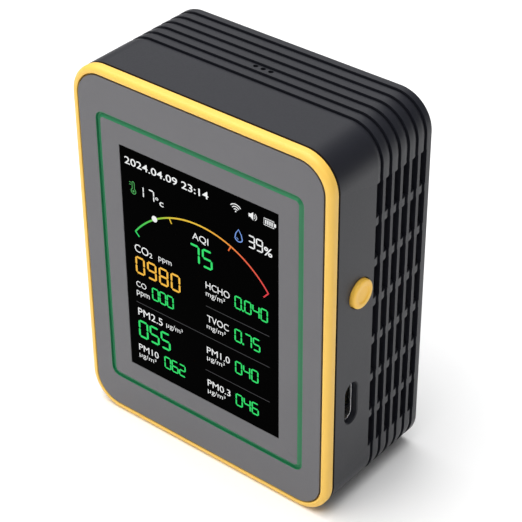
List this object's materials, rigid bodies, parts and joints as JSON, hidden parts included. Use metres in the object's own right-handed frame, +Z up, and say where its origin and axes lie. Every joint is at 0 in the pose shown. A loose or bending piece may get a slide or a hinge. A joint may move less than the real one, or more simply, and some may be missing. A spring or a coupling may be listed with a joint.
{
  "type": "air quality monitor",
  "caption": "Small free-standing air quality monitor: rounded ribbed case with side vents, coloured front ring, grey panel with display, side button and charging socket.",
  "frame": {"origin": "on the ground, under the middle of the case", "axes": "+Z up, the display faces -Y, the button and the charging socket are on the +X side"},
  "size_m": [0.0618, 0.0298, 0.08],
  "materials": {
    "case_black": "fine spark-eroded texture",
    "ring_yellow": "satin",
    "panel_grey": "satin",
    "trim_green": "satin",
    "lens_black": "polished, black behind a clear face",
    "button_yellow": "satin",
    "foam_black": "closed-cell foam",
    "lcd_glass": "clear",
    "tray_steel": "bright",
    "light_guide": "clear",
    "flex_amber": "smooth film",
    "board_green": "solder mask",
    "screw_steel": "zinc plated",
    "shell_steel": "nickel plated",
    "tongue_black": "moulded",
    "switch_black": "moulded",
    "plunger_brown": "moulded",
    "pm_shell": "bright",
    "pm_plastic": "moulded",
    "motor_white": "moulded",
    "tape_white": "foam tape",
    "cell_foil": "laminated foil",
    "plug_white": "moulded",
    "lead_red": "insulation",
    "lead_black": "insulation",
    "pins_brass": "gold plated",
    "cavity_gold": "gold plated",
    "membrane_white": "porous membrane",
    "cell_can": "bright",
    "cell_white": "moulded",
    "chip_black": "moulded"
  },
  "bodies": {
    "housing": {"rear_case": "case_black", "front_frame": "ring_yellow", "front_panel": "panel_grey", "trim_line": "trim_green", "display_lens": "lens_black", "lcd_seal": "foam_black", "lcd_cell": "lcd_glass", "lcd_tray": "tray_steel", "lcd_backlight": "light_guide", "lcd_flex": "flex_amber", "lcd_pad": "foam_black", "main_board": "board_green", "board_screws": "screw_steel", "case_screws": "screw_steel", "usb_shell": "shell_steel", "usb_tongue": "tongue_black", "switch_body": "switch_black", "pm_housing": "pm_plastic", "pm_lid": "pm_shell", "fan_motor": "motor_white", "pm_board": "board_green", "pm_laser": "chip_black", "pm_tape": "tape_white", "battery": "cell_foil", "battery_tape": "tape_white", "battery_socket": "plug_white", "battery_plug": "plug_white", "lead_positive": "lead_red", "lead_negative": "lead_black", "co2_pins": "pins_brass", "co2_board": "board_green", "co2_cavity": "cavity_gold", "co2_filter": "membrane_white", "co_cell": "cell_can", "co_filter": "membrane_white", "hcho_cell": "cell_white", "hcho_filter": "membrane_white", "tvoc_sensor": "cell_can", "climate_sensor": "chip_black", "controller": "chip_black", "radio_board": "board_green", "radio_shield": "shell_steel", "speaker": "chip_black", "speaker_seal": "foam_black"},
    "button": {"power_button": "button_yellow"},
    "plunger": {"switch_plunger": "plunger_brown"},
    "rotor": {"fan_rotor": "pm_plastic"}
  },
  "joints": [
    {"name": "button_press", "type": "slide", "parent": "housing", "child": "button", "axis": [-1, 0, 0], "range_m": [0, 0.0003], "stiffness_N_per_m": 2500, "springref_m": -0.0003},
    {"name": "plunger_press", "type": "slide", "parent": "housing", "child": "plunger", "axis": [-1, 0, 0], "range_m": [0, 0.0003]},
    {"name": "fan_spin", "type": "hinge", "parent": "housing", "child": "rotor", "pos_m": [-0.017, 0, 0.0522], "axis": [0, 1, 0], "continuous": true}
  ],
  "couplings": [
    {"joint": "plunger_press", "follows": "button_press", "ratio": 1}
  ]
}
